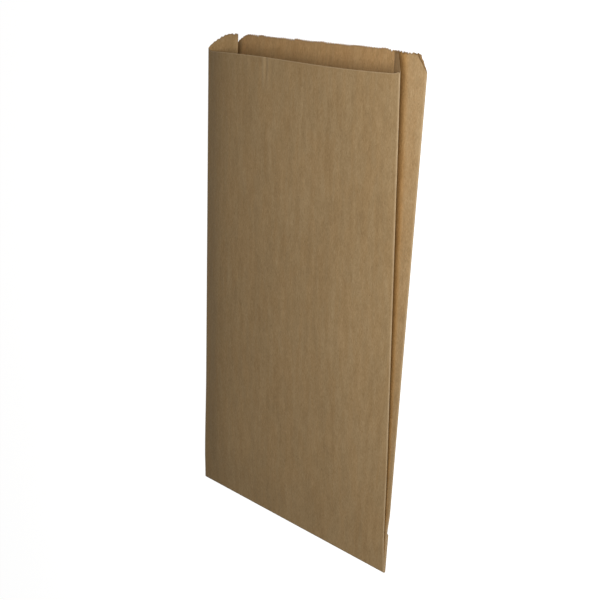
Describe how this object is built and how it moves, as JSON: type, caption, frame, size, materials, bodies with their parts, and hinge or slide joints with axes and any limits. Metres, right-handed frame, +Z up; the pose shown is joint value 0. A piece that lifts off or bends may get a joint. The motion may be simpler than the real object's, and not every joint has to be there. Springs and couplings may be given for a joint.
{
  "type": "flat paper bag",
  "caption": "Flat gusseted kraft paper bag with a saw-cut open mouth, a lower front lip and a folded, pasted bottom, lying on its back panel.",
  "frame": {"origin": "on the surface that the bag lies on, under the middle of its box", "axes": "+X runs across the bag, from its left fold to its right fold as seen from the front; +Y runs from the folded bottom to the open mouth; +Z points up out of the front panel, away from the surface that the back panel lies on"},
  "size_m": [0.254, 0.381, 0.0245],
  "materials": {
    "kraft_paper": "natural brown kraft, machine-glazed on one side, matt with a faint sheen"
  },
  "bodies": {
    "root": {"paper_bag": "kraft_paper"}
  },
  "joints": []
}
